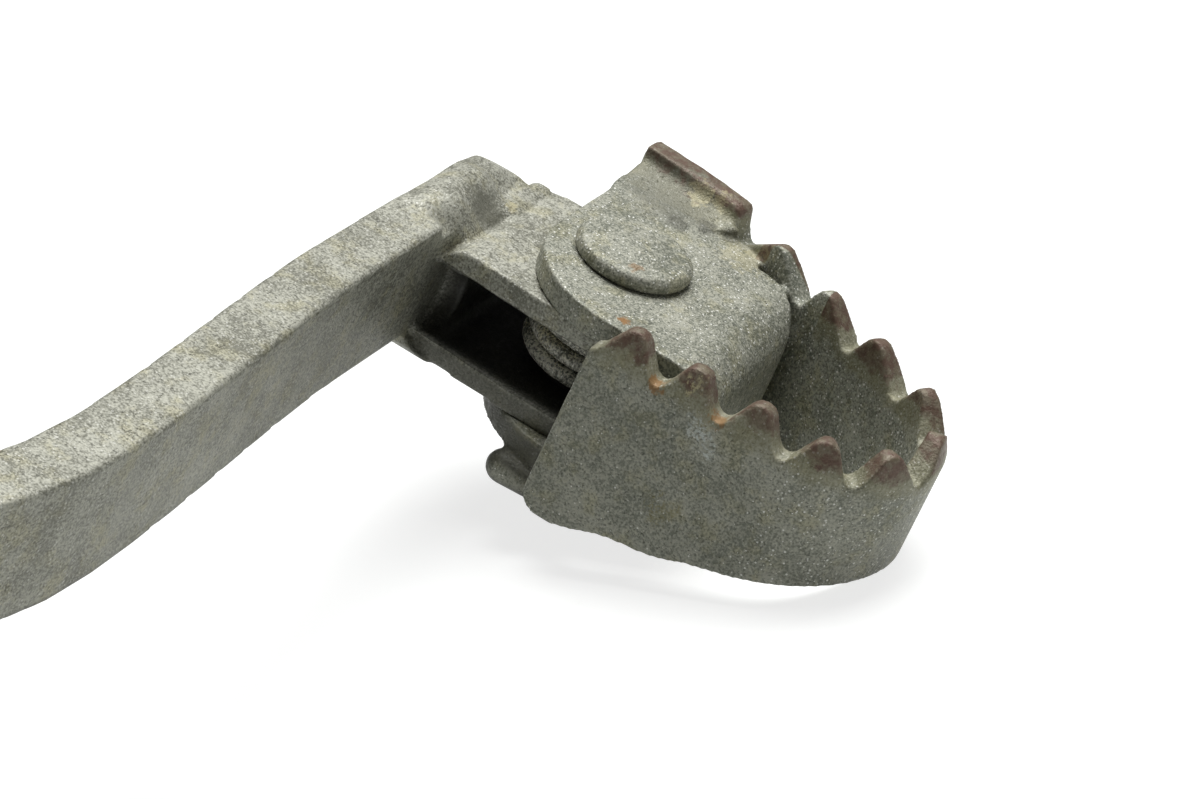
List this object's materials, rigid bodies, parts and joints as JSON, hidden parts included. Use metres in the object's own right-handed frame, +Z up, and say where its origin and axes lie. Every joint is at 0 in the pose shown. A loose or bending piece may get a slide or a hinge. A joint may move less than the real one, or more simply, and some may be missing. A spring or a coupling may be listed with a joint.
{
  "type": "rear brake pedal",
  "caption": "Trail bike rear brake pedal: flat steel arm on a pivot tube, with a welded clevis and a sprung folding tip whose bent band has sawn teeth.",
  "frame": {"origin": "centre of the pivot bore", "axes": "+X forward along the arm towards the tip, +Y along the pivot towards the bike, +Z up, parallel to the tip rivet"},
  "size_m": [0.2653, 0.1177, 0.0862],
  "materials": {
    "weathered_steel": "dull worn zinc plating, olive grey, with rust on the tooth tips",
    "weld_steel": "plated weld bead",
    "spring_wire": "dark oiled wire with worn spots",
    "bush_bronze": "turned, greased",
    "seal_rubber": "matt"
  },
  "bodies": {
    "pedal": {"arm": "weathered_steel", "pivot_tube": "weathered_steel", "bush_inner": "bush_bronze", "bush_outer": "bush_bronze", "seal_inner": "seal_rubber", "seal_outer": "seal_rubber", "pivot_weld_inner": "weld_steel", "pivot_weld_outer": "weld_steel", "rod_lever": "weathered_steel", "lever_weld": "weld_steel", "stop_tab": "weathered_steel", "stop_weld": "weld_steel", "clevis": "weathered_steel", "clevis_weld_top": "weld_steel", "clevis_weld_bottom": "weld_steel", "torsion_spring": "spring_wire", "spring_collar": "weathered_steel"},
    "tip": {"tip_bracket": "weathered_steel", "toothed_band": "weathered_steel", "band_weld_top": "weld_steel", "band_weld_bottom": "weld_steel", "band_weld_near": "weld_steel", "rivet": "weathered_steel"}
  },
  "joints": [
    {"name": "tip_fold", "type": "hinge", "parent": "pedal", "child": "tip", "pos_m": [0.205, -0.05, 0.022], "axis": [0, 0, -1], "range_deg": [0, 50], "stiffness_Nm_per_rad": 0.8, "springref_deg": -20.05, "deforming": ["torsion_spring"]}
  ]
}
